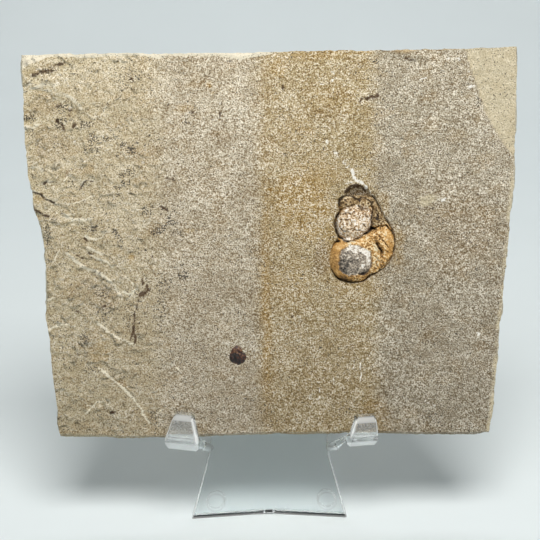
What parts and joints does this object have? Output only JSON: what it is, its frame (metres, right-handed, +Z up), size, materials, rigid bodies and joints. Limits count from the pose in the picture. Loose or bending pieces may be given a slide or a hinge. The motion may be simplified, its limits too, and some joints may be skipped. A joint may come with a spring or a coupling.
{
  "type": "fossil snail slab on a display easel",
  "caption": "Broken limestone slab with a fossil snail in a pocket and a small fossil seed, resting on the arms of a small clear plastic display easel.",
  "frame": {"origin": "middle of the front foot's flat underside, on the surface that the easel stands on", "axes": "+X along the slab's long side, to the viewer's right; +Y away from the viewer, towards the rear foot; +Z up"},
  "size_m": [0.1611, 0.0691, 0.1453],
  "materials": {
    "limestone": "matte; dry, fine-grained split limestone, cream, tan, orange and grey in upright bands",
    "fossil_shell": "satin; orange-tan calcite crust with pinkish white and grey patches",
    "carbonised_seed": "satin; dark purplish brown",
    "clear_plastic": "gloss; clear moulded polystyrene"
  },
  "bodies": {
    "root": {"limestone_slab": "limestone", "snail_fossil": "fossil_shell", "seed_fossil": "carbonised_seed", "display_easel": "clear_plastic"}
  },
  "joints": []
}
